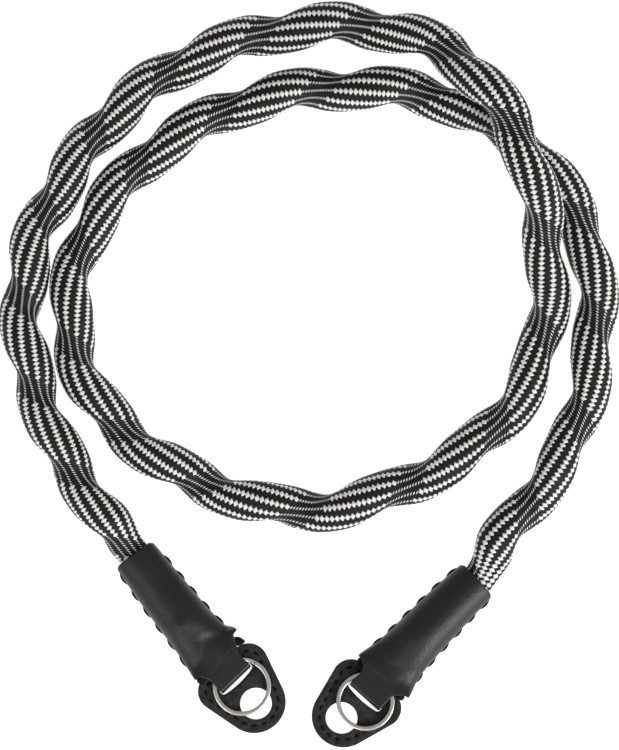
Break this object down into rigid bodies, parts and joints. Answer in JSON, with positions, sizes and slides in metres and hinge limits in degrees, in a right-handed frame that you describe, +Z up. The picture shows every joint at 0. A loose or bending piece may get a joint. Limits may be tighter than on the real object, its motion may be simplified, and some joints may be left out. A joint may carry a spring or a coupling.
{
  "type": "coiled camera strap",
  "caption": "Camera neck strap of twisted black and white woven cord, coiled flat, with laced leather end sleeves, protector pads and split rings.",
  "frame": {"origin": "middle of the coiled strap's outline, on the surface that it lies on", "axes": "+Z up from that surface, +Y from the leather ends towards the far side of the coil, +X to the right seen from above"},
  "size_m": [0.1983, 0.2389, 0.0298],
  "materials": {
    "woven_cord": "braided black and white silky thread in lengthwise dashes, twisted to a corkscrew",
    "sleeve_leather": "smooth black leather with a fine grain and a soft sheen, laced along both edges with black thread",
    "pad_leather": "black leather with a matt grain and a stitched border",
    "ring_steel": "polished split ring of flat steel wire"
  },
  "bodies": {
    "strap": {"cord": "woven_cord", "sleeve_left": "sleeve_leather", "sleeve_right": "sleeve_leather", "pad_left": "pad_leather", "pad_right": "pad_leather"},
    "left_ring": {"ring_left": "ring_steel"},
    "right_ring": {"ring_right": "ring_steel"}
  },
  "joints": [
    {"name": "left_ring_turn", "type": "hinge", "parent": "strap", "child": "left_ring", "pos_m": [-0.02155, -0.09968, 0.00446], "axis": [0.0545, -0.0565, 0.9969], "continuous": true},
    {"name": "right_ring_turn", "type": "hinge", "parent": "strap", "child": "right_ring", "pos_m": [0.01804, -0.10445, 0.00462], "axis": [-0.0525, -0.0583, 0.9969], "continuous": true}
  ]
}
